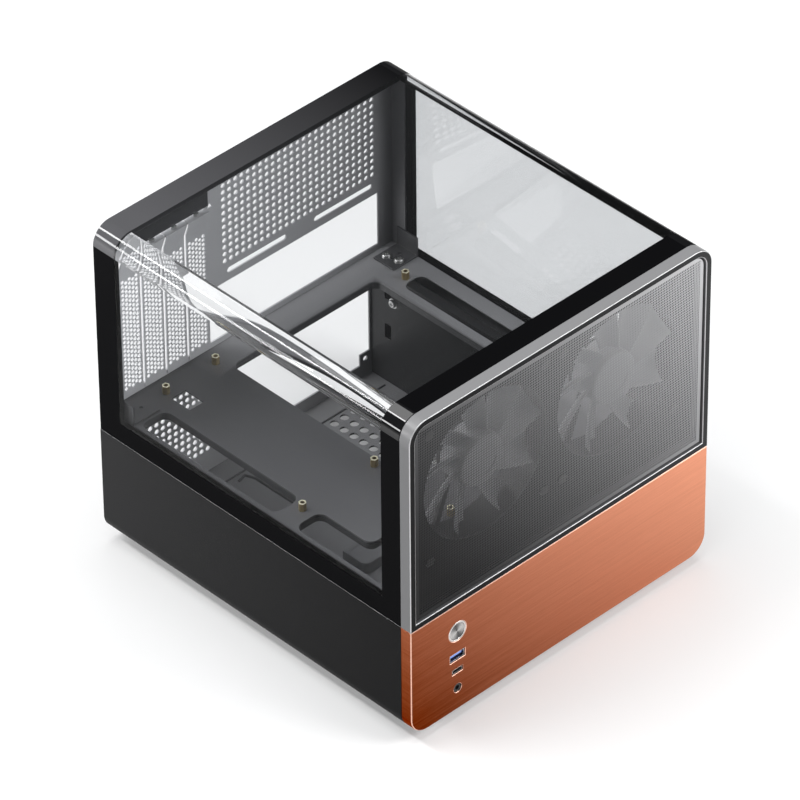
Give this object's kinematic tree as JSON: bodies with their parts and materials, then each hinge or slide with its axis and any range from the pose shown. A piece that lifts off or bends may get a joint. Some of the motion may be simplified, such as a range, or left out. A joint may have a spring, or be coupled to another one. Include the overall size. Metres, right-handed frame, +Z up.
{
  "type": "micro ATX computer case",
  "caption": "Compact desktop computer case with a bent glass hood over a dark steel body, a fine mesh front with fans behind it and a brushed copper lower panel with sockets.",
  "frame": {"origin": "on the ground under the middle of the case's overall box", "axes": "-Y is the front with the grille, +X is to the right seen from the front, +Z is up"},
  "size_m": [0.278, 0.3, 0.2685],
  "materials": {
    "glass": "polished, faintly smoked",
    "frame": "satin, dark anodised",
    "mesh": "satin",
    "copper_panel": "brushed, copper anodised",
    "black_steel": "fine matt texture",
    "inner_steel": "satin",
    "rubber": "matt",
    "brass": "machined",
    "zinc": "plated",
    "spun_metal": "spun",
    "black_plastic": "matt",
    "grey_plastic": "satin",
    "blue_plastic": "gloss",
    "board": "gloss"
  },
  "bodies": {
    "case": {"lower_shell": "black_steel", "feet": "rubber", "front_lower_panel": "copper_panel", "front_frame": "frame", "front_mesh": "mesh", "chassis_front": "inner_steel", "rear_panel": "inner_steel", "side_rail_left": "inner_steel", "side_rail_right": "inner_steel", "motherboard_tray": "inner_steel", "standoffs": "brass", "psu_side_plate": "inner_steel", "corner_bracket_left": "inner_steel", "corner_bracket_right": "inner_steel", "slot_cover_1": "inner_steel", "slot_cover_2": "inner_steel", "slot_cover_3": "inner_steel", "slot_cover_4": "inner_steel", "slot_retainer": "inner_steel", "slot_screws": "zinc", "fan_frame_left": "black_plastic", "fan_frame_right": "black_plastic", "fan_screws": "black_steel", "power_ring": "spun_metal", "power_switch": "black_plastic", "usb_a_shell": "zinc", "usb_a_tongue": "blue_plastic", "usb_c_shell": "zinc", "usb_c_tongue": "black_plastic", "audio_jack": "black_plastic", "socket_board": "board"},
    "hood": {"glass_hood": "glass", "hood_rail_left": "black_steel", "hood_rail_right": "black_steel"},
    "fan_left": {"fan_rotor_left": "grey_plastic"},
    "fan_right": {"fan_rotor_right": "grey_plastic"},
    "button": {"power_button": "spun_metal"}
  },
  "joints": [
    {"name": "hood_lift", "type": "slide", "parent": "case", "child": "hood", "axis": [0, 0, 1], "range_m": [0, 0.18]},
    {"name": "fan_left_spin", "type": "hinge", "parent": "case", "child": "fan_left", "pos_m": [-0.061, -0.1268, 0.192], "axis": [0, 1, 0], "continuous": true},
    {"name": "fan_right_spin", "type": "hinge", "parent": "case", "child": "fan_right", "pos_m": [0.061, -0.1268, 0.192], "axis": [0, 1, 0], "continuous": true},
    {"name": "button_press", "type": "slide", "parent": "case", "child": "button", "axis": [0, 1, 0], "range_m": [0, 0.0012], "stiffness_N_per_m": 1500}
  ]
}
